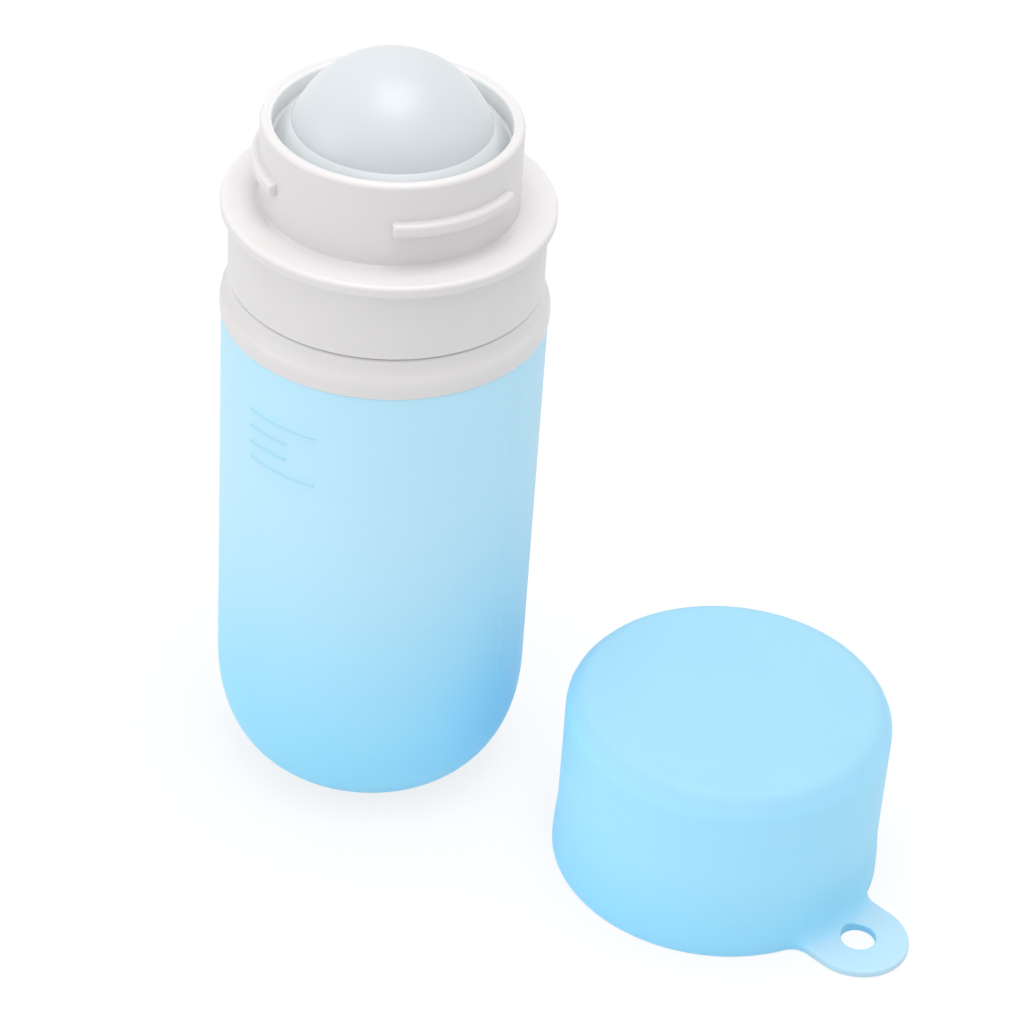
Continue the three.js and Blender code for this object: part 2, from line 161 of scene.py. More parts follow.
# Two-start thread between insert and head
THREAD_LEAD = 5.4
THREAD_STARTS = 2
THREAD_DEPTH = 0.7
THREAD_CREST_HALF = 0.3
THREAD_FOOT_HALF = 0.6
THREAD_FADE = 0.7
THREAD_LOW = 73.2
THREAD_HIGH = 79.4
THREAD_STEP = 0.12

# Roller head
SKIRT_INNER = 17.9
SKIRT_OUTER = 19.2
SKIRT_FOOT_ROUND = 0.2
SKIRT_EDGE_ROUND = 0.1
COVE_RADIUS = 0.95
FLANGE_EDGE = 1.35
FLANGE_ROUND = 0.55
FLANGE_FOOT_ROUND = 0.15
NECK_OUTER = 15.65
NECK_BORE = 14.25
NECK_FOOT_ROUND = 0.3
BORE_STEP_HEIGHT = 0.35
BORE_STEP_ROUND = 0.15
# Width over which the painted light inside the neck fades out
BORE_LIGHT_BLEND = 0.45
RIM_ROUND = 0.62
DECK_FOOT = 81.2
DECK_ROUND = 0.4
FLANGE_TOP = 82.9
LEDGE_RADIUS = 13.05
LEDGE_TOP = 82.4
LEDGE_ROUND = 0.15
LEDGE_CORNER_ROUND = 0.3
LUG_COUNT = 3
LUG_START = math.radians(-85.7)
LUG_SPAN = math.radians(61)
LUG_RADIUS = 16.6
LUG_CENTRE = 88.15
LUG_HALF_HEIGHT = 0.86
LUG_ROUND = 0.5
LUG_ROOT_ROUND = 0.2
LUG_END_ROUND = 0.4
LUG_RUN_IN = 0.6
LUG_END_CUTS = (-0.3, -0.08, -0.02, 0, 0.01, 0.03, 0.07, 0.13, 0.2, 0.3, 0.4, 0.6)

# Ball seat
SEAT_CLEARANCE = 0.03
SEAT_LIP_WIDTH = 0.1
SEAT_SHOULDER = 2.65
SEAT_SHOULDER_FULLNESS = 0.5
SEAT_SLEEVE_FOOT = 82.5
SEAT_SLEEVE_ROUND = 0.15
SEAT_WAIST = 12.75
SEAT_WAIST_ROUND = 0.12
SEAT_BARB = 13.3
SEAT_BARB_TOP = 81.1
SEAT_BARB_HEIGHT = 1.0
SEAT_BARB_ROUND = 0.2
SEAT_BARB_FOOT_ROUND = 0.3
SEAT_WALL = 0.65
FEED_RADIUS = 6.4
FEED_SLOTS = 6
FEED_SLOT_HALF_WIDTH = 0.8
FEED_SLOT_DEPTH = 2.0
FEED_SLOT_OPENING = 1.02
FEED_SLOT_CUTS = (1.1, 1, 0.97, 0.9, 0.75, 0.5, 0.25)
FEED_EDGE_DROP = 0.1
FEED_EDGE_ROUND = 0.2

# Cap shell and its loop
CAP_INNER = 18.9
CAP_RADIUS = 20.5
CAP_TOP_WALL = 2.0
CAP_EDGE_ROUND = 3.0
CAP_INNER_ROUND = 1.3
CAP_FOOT_ROUND = 0.35
CAP_FLARE_TOP = 6.5
LOOP_DIRECTION = math.radians(-42.3)
LOOP_THICKNESS = 1.0
LOOP_HOLE = 2.2
LOOP_HOLE_OFFSET = 3.5
LOOP_RIM = 4.19
LOOP_FILLET = 2.6
LOOP_EDGE_ROUND = 0.3
LEAST_ROUND = 0.01
LOOP_BLEND = 2.7
LOOP_TURN = 0.1
HOLE_EDGE_ROUND = 0.2
CUT_MARGIN = 0.02
CUT_REACH = 1.5

# Cap liner
LINER_INNER = 17.1
LINER_CEILING = 21.0
LINER_CEILING_ROUND = 0.6
LINER_CORNER = 1.6
LINER_ROUND = 0.3
LINER_LUG_START = math.radians(-79.2)
LINER_LUG_SPAN = math.radians(48)
LINER_LUG_TIP = 15.95
LINER_LUG_LOW = 2.4
LINER_LUG_HIGH = 4.0
PRESS_RING = 6.0
PRESS_RING_HALF_WALL = 0.6
PRESS_RING_FOOT = 17.2

# Where one colour fades into the next
BODY_FADE_LOW = 4.0
BODY_FADE_HIGH = 50.0
CAP_FADE_HIGH = 14.0
# The cap's painted shade: on its top edge between these depths below the top, and on its top out to the
# liner's edge, blending over the width below
CAP_EDGE_SHADE_LOW = 2.6
CAP_EDGE_SHADE_HIGH = 0.3
CAP_TOP_SHADE_BLEND = 0.25
LOOP_FADE_IN = 0.2
LOOP_FADE_OUT = 3.0
# Painted shade in the loop's hole fades out over this width
HOLE_SHADE_BLEND = 0.2

# Colours
BODY_DEEP = (0.29, 0.70, 0.955, 1)
BODY_PALE = (0.495, 0.775, 0.94, 1)
# Painted shade: a deeper blue on the ticks, in place of the shading along their raised edges
BODY_TICK_SHADE = (0.40, 0.70, 0.865, 1)
CAP_DEEP = (0.295, 0.69, 0.955, 1)
CAP_WALL = (0.355, 0.742, 0.985, 1)
# Painted shade: the cap's top and top edge darker than its wall, to even out the stronger light on the top
CAP_TOP_SHADE = (0.33, 0.618, 0.778, 1)
CAP_EDGE_SHADE = (0.317, 0.608, 0.795, 1)
CAP_LOOP = (0.475, 0.683, 0.805, 1)
# Painted shade: a deeper blue on the wall of the loop's hole
CAP_HOLE_SHADE = (0.25, 0.62, 0.86, 1)
SILICONE_CLOUD = (0.44, 0.74, 0.90, 1)
WHITE = (0.71, 0.692, 0.694, 1)
WHITE_SHADE = (0.69, 0.672, 0.674, 1)
# Painted light: a paler white inside the neck, in place of light let through by the ball and the seat
BORE_PAINTED_LIGHT = (0.93, 0.93, 0.93, 1)
SEAT_MILK = (0.80, 0.85, 0.87, 1)
SEAT_SHADE = (0.78, 0.83, 0.85, 1)
BALL_MILK = (0.57, 0.61, 0.632, 1)
BALL_SHADE = (0.553, 0.592, 0.613, 1)
SEAL = (0.66, 0.66, 0.64, 1)
SEAL_SHADE = (0.6, 0.6, 0.58, 1)

# Finishes. Cloudiness, gloss and grain are noises of (waves per metre, detail)
Finish = namedtuple("Finish", "cloud gloss grain grain_height ior")
Scatter = namedtuple("Scatter", "weight colours depth")
SILICONE = Finish((90, 3), (350, 4), (3500, 3), 0.006, 1.41)
MOULDED = Finish((60, 3), (420, 4), (2600, 3), 0.004, 1.49)
MILKY = Finish((110, 4), (500, 4), (4200, 2), 0.004, 1.49)
SILICONE_SCATTER = Scatter(0.3, (0.5, 0.85, 1.0), 0.4)
MOULDED_SCATTER = Scatter(0.25, (1.0, 0.8, 0.75), 1.0)
SILICONE_CLOUDINESS = 0.1
SILICONE_SPECULAR = 0.35
SEAT_OPACITY = 0.62
FROST_SHEEN = 0.5
FROST_SHEEN_ROUGHNESS = 0.4
NOISE_LOW = 0.3
NOISE_HIGH = 0.7

# Lowest and highest roughness
SILICONE_ROUGHNESS = (0.46, 0.56)
WHITE_ROUGHNESS = (0.32, 0.42)
SEAL_ROUGHNESS = (0.5, 0.65)
SEAT_ROUGHNESS = (0.28, 0.38)
BALL_ROUGHNESS = (0.3, 0.38)

Round = namedtuple("Round", "radius foot top")


def round_of(node):
    """Radius, foot and top of a round CAD node on the bottle's axis."""
    low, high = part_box(node)
    return Round((high.x - low.x) / 2 / MM, low.z / MM, high.z / MM)


body = round_of("squeeze_body")
collar = round_of("clamp_collar")
insert = round_of("neck_insert")
gasket = round_of("neck_gasket")
head = round_of("roller_head")
seat = round_of("ball_seat")
ball = round_of("roller_ball")
liner = round_of("cap_liner")
liner_low, liner_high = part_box("cap_liner")
shell_low, shell_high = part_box("cap_shell")
cap_axis = (liner_low + liner_high) / 2 / MM
cap_mouth = cap_axis.x - shell_low.x / MM
cap_top = shell_high.z / MM


# Outlines

def rounded(corners):
    """A chain of (radius, height) points from corners (radius, height, rounding)."""
    points = []
    last = len(corners) - 1
    for i, (radius, height, fillet) in enumerate(corners):
        here = Vector((radius, height))
        if fillet == 0:
            points.append((radius, height))
            continue
        before = (Vector(corners[i - 1][:2]) - here).normalized()
        after = (Vector(corners[0 if i == last else i + 1][:2]) - here).normalized()
        half = before.angle(after) / 2
        centre = here + (before + after).normalized() * fillet / math.sin(half)
        start = here + before * fillet / math.tan(half) - centre
        end = here + after * fillet / math.tan(half) - centre
        first = math.atan2(start.y, start.x)
        sweep = (math.atan2(end.y, end.x) - first + math.pi) % (2 * math.pi) - math.pi
        for k in range(CORNER_STEPS + 1):
            angle = first + sweep * k / CORNER_STEPS
            points.append((centre.x + fillet * math.cos(angle), centre.y + fillet * math.sin(angle)))
    return points


def plain(points):
    """Points as corners without rounding."""
    return [(radius, height, 0) for radius, height in points]


def bezier(start, control, end, steps=CURVE_STEPS):
    """Points of a quadratic curve, both ends included."""
    points = []
    for k in range(steps + 1):
        t = k / steps
        weights = ((1 - t) ** 2, 2 * t * (1 - t), t ** 2)
        points.append(tuple(
            weights[0] * a + weights[1] * b + weights[2] * c for a, b, c in zip(start, control, end)
        ))
    return points


def arc(centre_height, radius, start, end, steps=CURVE_STEPS):
    """Points of an arc about a centre on the axis."""
    points = []
    for k in range(steps + 1):
        angle = start + (end - start) * k / steps
        points.append((radius * math.cos(angle), centre_height + radius * math.sin(angle)))
    return points


def smooth(t):
    """0 below 0, 1 above 1 and a soft step in between."""
    t = min(max(t, 0), 1)
    return t * t * (3 - 2 * t)


def quarter(t):
    """Height of a quarter circle at t: 0 at 0, 1 from 1 on."""
    t = min(max(t, 0), 1)
    return math.sqrt(1 - (1 - t) ** 2)


def turn_angles(extra=()):
    """Even angles round the axis together with extra ones where detail needs them."""
    count = round(2 * math.pi / TURN_STEP)
    angles = {round(i * TURN_STEP, 7) for i in range(count)}
    angles.update(round(a % (2 * math.pi), 7) for a in extra)
    return sorted(angles)


def near(angle, radius, offsets):
    """Angles at arc lengths from a given angle."""
    return [angle + offset / radius for offset in offsets]


def apart(angle, other):
    """Signed angle from other to angle, within half a turn."""
    return (angle - other + math.pi) % (2 * math.pi) - math.pi


# Meshes

def skin(name, sections, axis=Vector((0, 0, 0))):
    """A closed mesh through outlines of (radius, height) points at rising angles round an axis.

    An outline that starts on the axis ends on it too, and any other closes on itself.
    """
    count = len(sections[0][1])
    vertices = []
    for angle, outline in sections:
        for radius, height in outline:
            x = axis.x + radius * math.cos(angle)
            y = axis.y + radius * math.sin(angle)
            vertices.append((x * MM, y * MM, height * MM))
    touches_axis = sections[0][1][0][0] == 0
    rows = count - 1 if touches_axis else count
    faces = []
    for i in range(len(sections)):
        here = i * count
        beside = (i + 1) % len(sections) * count
        for k in range(rows):
            above = (k + 1) % count
            faces.append((here + k, beside + k, beside + above, here + above))
    mesh = bpy.data.meshes.new(name)
    mesh.from_pydata(vertices, [], faces)
    clean(mesh)
    return mesh


def clean(mesh):
    """Merges doubled vertices, drops empty faces and turns all faces outwards."""
    work = bmesh.new()
    work.from_mesh(mesh)
    bmesh.ops.remove_doubles(work, verts=work.verts, dist=MERGE_DISTANCE)
    bmesh.ops.dissolve_degenerate(work, edges=work.edges, dist=MERGE_DISTANCE)
    bmesh.ops.recalc_face_normals(work, faces=work.faces)
    work.to_mesh(mesh)
    work.free()


def show(mesh, name):
    """Links a mesh to the scene as a smooth object."""
    mesh.shade_smooth()
    mesh.set_sharp_from_angle(angle=SHARP_ANGLE)
    shown = bpy.data.objects.new(name, mesh)
    bpy.context.scene.collection.objects.link(shown)
    return shown


def dress(shown, node, body_name, material):
    """Gives a piece its material and ties it to the frame."""
    shown.data.materials.append(material)
    normals = shown.modifiers.new("normals", "WEIGHTED_NORMAL")
    normals.keep_sharp = True
    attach(shown, body_name)
    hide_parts(node)


# Squeeze body

def parting_lines():
    """Angles of the mould's two parting lines."""
    return (PARTING_LINE, PARTING_LINE + math.pi)


def tick_heights():
    return [TICK_TOP - i * TICK_SPACING for i in range(len(TICK_LENGTHS))]


def tick_share(angle, height):
    """1 on a level tick, 0 beside it and between the two along its edge."""
    share = 0
    along = apart(angle, TICK_LEFT) * body.radius
    for tick, length in zip(tick_heights(), TICK_LENGTHS):
        beyond = max(-along, along - length, 0)
        distance = math.hypot(beyond, height - tick)
        share = max(share, smooth((TICK_HALF_WIDTH - distance) / TICK_EDGE))
    return share


def body_relief(angle, height):
    """How far the level ticks and the parting lines stand out of the wall."""
    rise = TICK_RISE * tick_share(angle, height)
    for line in parting_lines():
        across = abs(apart(angle, line)) * body.radius
        rise = max(rise, PARTING_RISE * smooth(1 - across / PARTING_HALF_WIDTH))
    return rise


def mark_tick_shade(mesh):
    """Keeps each vertex's share of a tick on the mesh, for the material's painted shade on the ticks."""
    tick_shade_marks = mesh.attributes.new(TICK_SHADE_MARK, "FLOAT", "POINT")
    for vertex, mark in zip(mesh.vertices, tick_shade_marks.data):
        place = vertex.co / MM
        if math.hypot(place.x, place.y) > body.radius - BODY_WALL / 2:
            mark.value = tick_share(math.atan2(place.y, place.x), place.z)


def base_curve(lower):
    """Outer side of the round bottom, from the flat base up to the wall."""
    points = []
    for k in range(CURVE_STEPS + 1):
        t = math.pi / 2 * k / CURVE_STEPS
        reach = math.sin(t) ** (2 / BASE_POWER)
        climb = 1 - math.cos(t) ** (2 / BASE_POWER)
        points.append((BASE_FLAT + (lower - BASE_FLAT) * reach, BASE_ROUND * climb))
    return points


def body_wall(lower, shoulder):
    """Outer side of the wall, with points close together at the level ticks."""
    top = shoulder - 2 * SHOULDER_ROUND
    steps = int((top - BASE_ROUND) / WALL_STEP)
    heights = {top}
    heights.update(BASE_ROUND + i * WALL_STEP for i in range(1, steps + 1))
    for tick in tick_heights():
        for share in TICK_CUTS:
            heights.add(tick - share * TICK_HALF_WIDTH)
            heights.add(tick + share * TICK_HALF_WIDTH)
    points = []
    for height in sorted(heights):
        share = (height - BASE_ROUND) / (shoulder - BASE_ROUND)
        points.append((lower + BODY_TAPER * share, height))
    return points


def body_angles():
    """Angles round the body, close together at the parting lines and at the ends of the ticks."""
    extra = []
    for line in parting_lines():
        extra += near(line, body.radius, PARTING_CUTS)
    for end in {0, *TICK_LENGTHS}:
        offsets = [end]
        for share in TICK_END_CUTS:
            offsets += [end - share * TICK_HALF_WIDTH, end + share * TICK_HALF_WIDTH]
        extra += near(TICK_LEFT, body.radius, offsets)
    return turn_angles(extra)


def body_sections():
    lower = body.radius - BODY_TAPER
    inner = body.radius - BODY_WALL
    shoulder = collar.foot - COLLAR_FOOT_GAP
    throat = shoulder - BODY_WALL
    bead = LIP_OUTER + LIP_BEAD
    bead_foot = body.top - LIP_BEAD_HEIGHT
    wall = body_wall(lower, shoulder)
    bowl = bezier((inner - BODY_TAPER, BASE_ROUND - BOWL_DROP), (inner, BASE_WALL), (BASE_FLAT, BASE_WALL))
    outline = rounded([
        (0, 0, 0),
        *plain(base_curve(lower)),
        *plain(wall),
        (body.radius, shoulder, SHOULDER_ROUND),
        (LIP_OUTER, shoulder, LIP_ROUND),
        (LIP_OUTER, bead_foot - LIP_BEAD, LIP_ROUND),
        (bead, bead_foot, LIP_ROUND),
        (bead, body.top, LIP_TOP_ROUND),
        (LIP_INNER, body.top, LIP_ROUND),
        (LIP_INNER, throat, THROAT_ROUND),
        (inner, throat - THROAT_HEIGHT, THROAT_FOOT_ROUND),
        (inner, BASE_ROUND, 0),
        *plain(bowl),
        (0, BASE_WALL, 0),
    ])
    first_wall = outline.index(wall[0])
    last_wall = outline.index(wall[-1])
    sections = []
    for angle in body_angles():
        points = list(outline)
        for k in range(first_wall, last_wall + 1):
            radius, height = points[k]
            points[k] = (radius + body_relief(angle, height), height)
        sections.append((angle, points))
    return sections


# Collar, insert and gasket

def collar_sections():
    foot = (collar.radius - COLLAR_TUCK, collar.foot)
    belly = (collar.radius, collar.foot + COLLAR_BELLY_HEIGHT)
    edge = (COLLAR_TOP_RADIUS, collar.top - COLLAR_EDGE_LENGTH)
    middle = tuple((a + b) / 2 for a, b in zip(belly, edge))
    lower = bezier(foot, (collar.radius, collar.foot + COLLAR_TUCK), belly)
    flare = bezier(belly, (collar.radius, belly[1] + COLLAR_BEND), middle)
    upper = bezier(middle, (COLLAR_TOP_RADIUS, edge[1] - COLLAR_BEND), edge)
    step = COLLAR_GROOVE - COLLAR_BORE
    outline = rounded([
        (COLLAR_BORE, collar.foot, COLLAR_INNER_ROUND),
        *plain(lower),
        *plain(flare[1:]),
        *plain(upper[1:]),
        (COLLAR_TOP_RADIUS, collar.top, COLLAR_EDGE_ROUND),
        (COLLAR_GROOVE, collar.top, COLLAR_INNER_ROUND),
        (COLLAR_GROOVE, GROOVE_FOOT + step, COLLAR_INNER_ROUND),
        (COLLAR_BORE, GROOVE_FOOT, COLLAR_INNER_ROUND),
    ])
    return [(angle, outline) for angle in turn_angles()]


def thread_rise(angle, height, offset):
    """Share of the thread's full depth at a place on its cylinder."""
    pitch = THREAD_LEAD / THREAD_STARTS
    along = (height - offset - THREAD_LEAD * angle / (2 * math.pi)) % pitch
    across = min(along, pitch - along)
    flank = (THREAD_FOOT_HALF - across) / (THREAD_FOOT_HALF - THREAD_CREST_HALF)
    fade = min((height - THREAD_LOW) / THREAD_FADE, (THREAD_HIGH - height) / THREAD_FADE)
    return smooth(flank) * smooth(fade)


def thread_heights():
    count = round((THREAD_HIGH - THREAD_LOW) / THREAD_STEP)
    return [THREAD_LOW + (THREAD_HIGH - THREAD_LOW) * i / count for i in range(count + 1)]


def insert_sections():
    sections = []
    for angle in turn_angles():
        thread = [
            (INSERT_THREAD_ROOT + THREAD_DEPTH * thread_rise(angle, height, 0), height)
            for height in thread_heights()
        ]
        sections.append((angle, rounded([
            (INSERT_BORE, insert.foot, INSERT_ROUND),
            (INSERT_TUBE - INSERT_LEAD_IN, insert.foot, INSERT_TIP_ROUND),
            (INSERT_TUBE, insert.foot + INSERT_LEAD_IN, INSERT_LEAD_IN_ROUND),
            (INSERT_TUBE, INSERT_FLANGE_FOOT, INSERT_ROUND),
            (insert.radius, INSERT_FLANGE_FOOT, INSERT_ROUND),
            (insert.radius, INSERT_FLANGE_TOP, INSERT_ROUND),
            (INSERT_THREAD_ROOT, INSERT_FLANGE_TOP, INSERT_ROOT_ROUND),
            *plain(thread),
            (INSERT_THREAD_ROOT, insert.top, INSERT_TOP_ROUND),
            (INSERT_BORE, insert.top, INSERT_MOUTH_ROUND),
        ])))
    return sections


def gasket_sections():
    inner = INSERT_BORE + GASKET_STEP
    outline = rounded([
        (inner, gasket.foot, GASKET_ROUND),
        (gasket.radius, gasket.foot, GASKET_ROUND),
        (gasket.radius, gasket.top, GASKET_ROUND),
        (inner, gasket.top, GASKET_ROUND),
    ])
    return [(angle, outline) for angle in turn_angles()]


# Roller head

def lug_starts(start):
    return [start + i * 2 * math.pi / LUG_COUNT for i in range(LUG_COUNT)]


def lug_angles(start, span, radius):
    """Extra angles at the ends of all lugs of one ring."""
    angles = []
    for left in lug_starts(start):
        angles += near(left, radius, LUG_END_CUTS)
        angles += near(left + span, radius, [-offset for offset in LUG_END_CUTS])
    return angles


def inside_lug(angle, start, span, radius):
    """Arc length from the nearer end of the lug at this angle, negative outside all lugs."""
    depths = []
    for left in lug_starts(start):
        from_middle = abs(apart(angle, left + span / 2))
        depths.append((span / 2 - from_middle) * radius)
    return max(depths)


def lug_outline(wall, crest, low, high, depth):
    """A bar on a wall between two heights, shrunk to the wall near and beyond its ends."""
    middle = (low + high) / 2
    corners = [
        (wall, low - LUG_RUN_IN, 0),
        (wall, low, LUG_ROOT_ROUND),
        (crest, low, LUG_ROUND),
        (crest, high, LUG_ROUND),
        (wall, high, LUG_ROOT_ROUND),
        (wall, high + LUG_RUN_IN, 0),
    ]
    proud = quarter(depth / LUG_END_ROUND)
    trim = LUG_END_ROUND * (1 - proud) / (high - low) * 2
    points = []
    for radius, height in rounded(corners)[1:-1]:
        points.append((wall + (radius - wall) * proud, middle + (height - middle) * (1 - trim)))
    return points


def head_sections():
    cove_foot = FLANGE_TOP - FLANGE_EDGE - COVE_RADIUS
    cove = [
        (SKIRT_OUTER + COVE_RADIUS * (1 - math.cos(t)), cove_foot + COVE_RADIUS * math.sin(t))
        for t in (math.pi / 2 * k / CORNER_STEPS for k in range(CORNER_STEPS))
    ]
    thread_offset = THREAD_LEAD / THREAD_STARTS / 2
    shoulder_foot = seat.top - SEAT_SHOULDER
    seat_bore = seat.radius + SEAT_CLEARANCE
    low = LUG_CENTRE - LUG_HALF_HEIGHT
    high = LUG_CENTRE + LUG_HALF_HEIGHT
    sections = []
    for angle in turn_angles(lug_angles(LUG_START, LUG_SPAN, LUG_RADIUS)):
        depth = inside_lug(angle, LUG_START, LUG_SPAN, LUG_RADIUS)
        thread = [
            (SKIRT_INNER - THREAD_DEPTH * thread_rise(angle, height, thread_offset), height)
            for height in reversed(thread_heights())
        ]
        sections.append((angle, rounded([
            (SKIRT_INNER, head.foot, SKIRT_FOOT_ROUND),
            (SKIRT_OUTER, head.foot, SKIRT_EDGE_ROUND),
            *plain(cove),
            (head.radius, cove_foot + COVE_RADIUS, FLANGE_FOOT_ROUND),
            (head.radius, FLANGE_TOP, FLANGE_ROUND),
            (NECK_OUTER, FLANGE_TOP, NECK_FOOT_ROUND),
            *plain(lug_outline(NECK_OUTER, LUG_RADIUS, low, high, depth)),
            (NECK_OUTER, head.top, RIM_ROUND),
            (NECK_BORE, head.top, RIM_ROUND),
            (NECK_BORE, shoulder_foot + BORE_STEP_HEIGHT, BORE_STEP_ROUND),
            (seat_bore, shoulder_foot, BORE_STEP_ROUND),
            (seat_bore, LEDGE_TOP, LEDGE_CORNER_ROUND),
            (LEDGE_RADIUS, LEDGE_TOP, LEDGE_ROUND),
            (LEDGE_RADIUS, DECK_FOOT, LEDGE_ROUND),
            (SKIRT_INNER, DECK_FOOT, DECK_ROUND),
            *plain(thread),
        ])))
    return sections


# Ball seat and ball

def seat_sections():
    centre = (ball.foot + ball.top) / 2
    bowl = ball.radius + SEAT_CLEARANCE
    lip_angle = math.asin((seat.top - centre) / bowl)
    lip = bowl * math.cos(lip_angle) + SEAT_LIP_WIDTH
    shoulder_foot = Vector((seat.radius, seat.top - SEAT_SHOULDER))
    shoulder_head = Vector((lip, seat.top))
    cone_middle = (shoulder_foot + shoulder_head) / 2
    pull = cone_middle.lerp(Vector((seat.radius, seat.top)), SEAT_SHOULDER_FULLNESS)
    shoulder = bezier(shoulder_foot, pull, shoulder_head)
    barb_foot = SEAT_BARB_TOP - SEAT_BARB_HEIGHT
    slot_angles = [2 * math.pi * i / FEED_SLOTS for i in range(FEED_SLOTS)]
    extra = []
    for slot in slot_angles:
        for side in (-1, 1):
            offsets = [side * FEED_SLOT_HALF_WIDTH * share for share in FEED_SLOT_CUTS]
            extra += near(slot, FEED_RADIUS, offsets)
    sections = []
    for angle in turn_angles(extra):
        across = min(abs(apart(angle, slot)) for slot in slot_angles) * FEED_RADIUS
        feed = FEED_RADIUS + FEED_SLOT_DEPTH * quarter(FEED_SLOT_OPENING - across / FEED_SLOT_HALF_WIDTH)
        feed_angle = -math.acos(feed / bowl)
        feed_foot = centre - math.sqrt(bowl ** 2 - feed ** 2)
        sections.append((angle, rounded([
            (feed + SEAT_WALL, feed_foot - FEED_EDGE_DROP, FEED_EDGE_ROUND),
            (SEAT_BARB - SEAT_BARB_HEIGHT, barb_foot - SEAT_BARB_HEIGHT, SEAT_BARB_FOOT_ROUND),
            (SEAT_BARB, barb_foot, SEAT_BARB_ROUND),
            (SEAT_BARB, SEAT_BARB_TOP, SEAT_WAIST_ROUND),
            (SEAT_WAIST, SEAT_BARB_TOP, SEAT_WAIST_ROUND),
            (SEAT_WAIST, SEAT_SLEEVE_FOOT, SEAT_WAIST_ROUND),
            (seat.radius, SEAT_SLEEVE_FOOT, SEAT_SLEEVE_ROUND),
            *plain(shoulder),
            *plain(arc(centre, bowl, lip_angle, feed_angle)),
        ])))
    return sections


def ball_mesh():
    """A sphere of even quads, made from a cube whose faces are cut fine and pushed out."""
    mesh = bpy.data.meshes.new("frosted_ball")
    work = bmesh.new()
    bmesh.ops.create_cube(work, size=2)
    bmesh.ops.subdivide_edges(work, edges=work.edges, cuts=BALL_CUTS, use_grid_fill=True)
    centre = Vector((0, 0, (ball.foot + ball.top) / 2))
    for vertex in work.verts:
        outwards = Vector([math.tan(c * math.pi / 4) for c in vertex.co])
        vertex.co = (centre + outwards.normalized() * ball.radius) * MM
    work.to_mesh(mesh)
    work.free()
    clean(mesh)
    return mesh


# Cap shell with its loop

def loop_rim():
    """(angle from the loop's direction, radius) of the loop's outer edge, from one root to the other."""
    half_width = LOOP_HOLE + LOOP_RIM
    hole = cap_mouth + LOOP_HOLE_OFFSET
    fillet_y = half_width + LOOP_FILLET
    fillet_x = math.sqrt((cap_mouth + LOOP_FILLET) ** 2 - fillet_y ** 2)
    root = math.atan2(fillet_y, fillet_x)
    points = []
    for k in range(CURVE_STEPS + 1):
        turn = math.pi + root + (math.pi / 2 - root) * k / CURVE_STEPS
        points.append((fillet_x + LOOP_FILLET * math.cos(turn), fillet_y + LOOP_FILLET * math.sin(turn)))
    for k in range(1, CURVE_STEPS * 2 + 1):
        turn = math.pi / 2 - math.pi / 2 * k / (CURVE_STEPS * 2)
        points.append((hole + half_width * math.cos(turn), half_width * math.sin(turn)))
    half = [(math.atan2(y, x), math.hypot(x, y)) for x, y in points]
    return half + [(-angle, radius) for angle, radius in reversed(half[:-1])]


def shell_sections():
    rim = [((LOOP_DIRECTION + angle) % (2 * math.pi), radius) for angle, radius in loop_rim()]
    root = max(angle for angle, radius in loop_rim())
    rim += [
        (angle, cap_mouth) for angle in turn_angles()
        if abs(apart(angle, LOOP_DIRECTION)) > root
    ]
    inner_top = cap_top - CAP_TOP_WALL
    wall_control = Vector((cap_mouth, 2 * LOOP_THICKNESS))
    loop_control = Vector((CAP_RADIUS + LOOP_TURN, LOOP_THICKNESS))
    sections = []
    for angle, reach in sorted(rim):
        share = smooth((reach - cap_mouth) / LOOP_BLEND)
        edge = LOOP_EDGE_ROUND * max(share, LEAST_ROUND)
        start = min(reach - edge, cap_mouth + LOOP_BLEND)
        control = wall_control.lerp(loop_control, share)
        flare = bezier((start, LOOP_THICKNESS), control, (CAP_RADIUS, CAP_FLARE_TOP))
        sections.append((angle, rounded([
            (0, inner_top, 0),
            (CAP_INNER, inner_top, CAP_INNER_ROUND),
            (CAP_INNER, 0, CAP_FOOT_ROUND),
            (reach, 0, CAP_FOOT_ROUND),
            (reach, LOOP_THICKNESS, edge),
            *plain(flare),
            (CAP_RADIUS, cap_top, CAP_EDGE_ROUND),
            (0, cap_top, 0),
        ])))
    return sections


def loop_height(distance):
    """Height of the loop's upper side at a distance from the cap's axis."""
    toe = (cap_mouth + LOOP_BLEND, LOOP_THICKNESS)
    slope = bezier(toe, (CAP_RADIUS + LOOP_TURN, LOOP_THICKNESS), (CAP_RADIUS, CAP_FLARE_TOP))
    for outer, inner in zip(slope, slope[1:]):
        if inner[0] <= distance <= outer[0]:
            share = (outer[0] - distance) / (outer[0] - inner[0])
            return outer[1] + (inner[1] - outer[1]) * share
    return LOOP_THICKNESS


def hole_centre():
    reach = cap_mouth + LOOP_HOLE_OFFSET
    return cap_axis + Vector((math.cos(LOOP_DIRECTION), math.sin(LOOP_DIRECTION), 0)) * reach


def hole_cutter():
    """A spool that cuts the loop's hole and rounds both of its edges."""
    wide = LOOP_HOLE + HOLE_EDGE_ROUND
    lower = [
        (wide - HOLE_EDGE_ROUND * math.sin(t), HOLE_EDGE_ROUND * (1 - math.cos(t)) - CUT_MARGIN)
        for t in (math.pi / 2 * k / CORNER_STEPS for k in range(CORNER_STEPS + 1))
    ]
    sections = []
    for angle in turn_angles():
        side = hole_centre() + Vector((math.cos(angle), math.sin(angle), 0)) * wide - cap_axis
        top = loop_height(side.xy.length)
        upper = [(radius, top - height) for radius, height in reversed(lower)]
        sections.append((angle, [
            (0, -CUT_REACH),
            (wide, -CUT_REACH),
            *lower,
            *upper,
            (wide, LOOP_THICKNESS + CUT_REACH),
            (0, LOOP_THICKNESS + CUT_REACH),
        ]))
    return skin("hole_cutter", sections, hole_centre())


